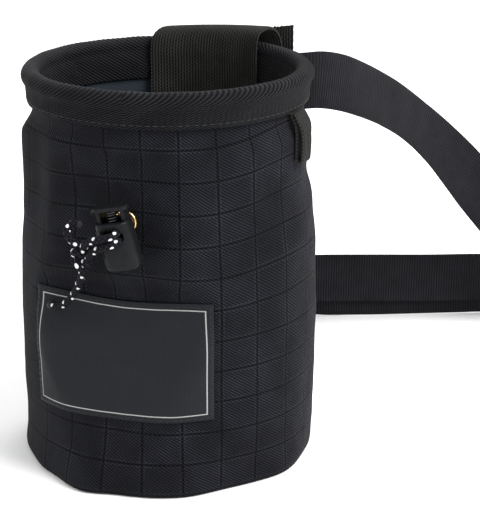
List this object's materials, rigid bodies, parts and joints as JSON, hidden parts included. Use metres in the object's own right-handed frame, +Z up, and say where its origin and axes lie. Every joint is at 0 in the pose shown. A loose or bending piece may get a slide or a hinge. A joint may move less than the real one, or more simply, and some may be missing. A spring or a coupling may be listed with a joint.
{
  "type": "climbing chalk bag",
  "caption": "Soft round chalk bag with a bound rim, drawcord and sprung cord lock, stitched label, webbing loop and a buckled waist belt lying behind it.",
  "frame": {"origin": "middle of the underside of the base panel", "axes": "+Z up; the label and the cord lock face -Y, the wide webbing loop is at +Y, the small tape loop is at +X"},
  "size_m": [0.2303, 0.2739, 0.1733],
  "materials": {
    "ripstop": "charcoal twill cloth with a sewn-in square grid of heavier threads",
    "rim_twill": "charcoal ribbed binding tape over a stiff cord",
    "lining": "smooth dark blue-grey lining with a slight sheen",
    "label": "smooth dark satin patch with a thin silver woven border",
    "heavy_webbing": "coarse black webbing",
    "belt_webbing": "fine ribbed black webbing",
    "cord": "black braid with pale reflective flecks",
    "black_plastic": "satin black moulded plastic",
    "brass": "bright rolled brass",
    "spring_steel": "drawn steel wire"
  },
  "bodies": {
    "root": {"base_panel": "ripstop", "shell": "ripstop", "lining": "lining", "rim_binding": "rim_twill", "label_patch": "label", "back_loop": "heavy_webbing", "back_loop_outer_ply": "heavy_webbing", "side_loop": "heavy_webbing", "belt": "belt_webbing", "belt_buckle": "black_plastic", "eyelet": "brass", "cord_strand_upper": "cord", "cord_strand_lower": "cord", "cord_knot": "cord", "cord_tail_short": "cord", "cord_tail_long": "cord", "cord_lock_body": "black_plastic", "lock_spring": "spring_steel"},
    "plunger": {"cord_lock_plunger": "black_plastic"}
  },
  "joints": [
    {"name": "plunger_press", "type": "slide", "parent": "root", "child": "plunger", "axis": [0.1908, 0.1026, -0.9762], "range_m": [0, 0.0024], "stiffness_N_per_m": 300, "springref_m": -0.002, "deforming": ["lock_spring"]}
  ]
}
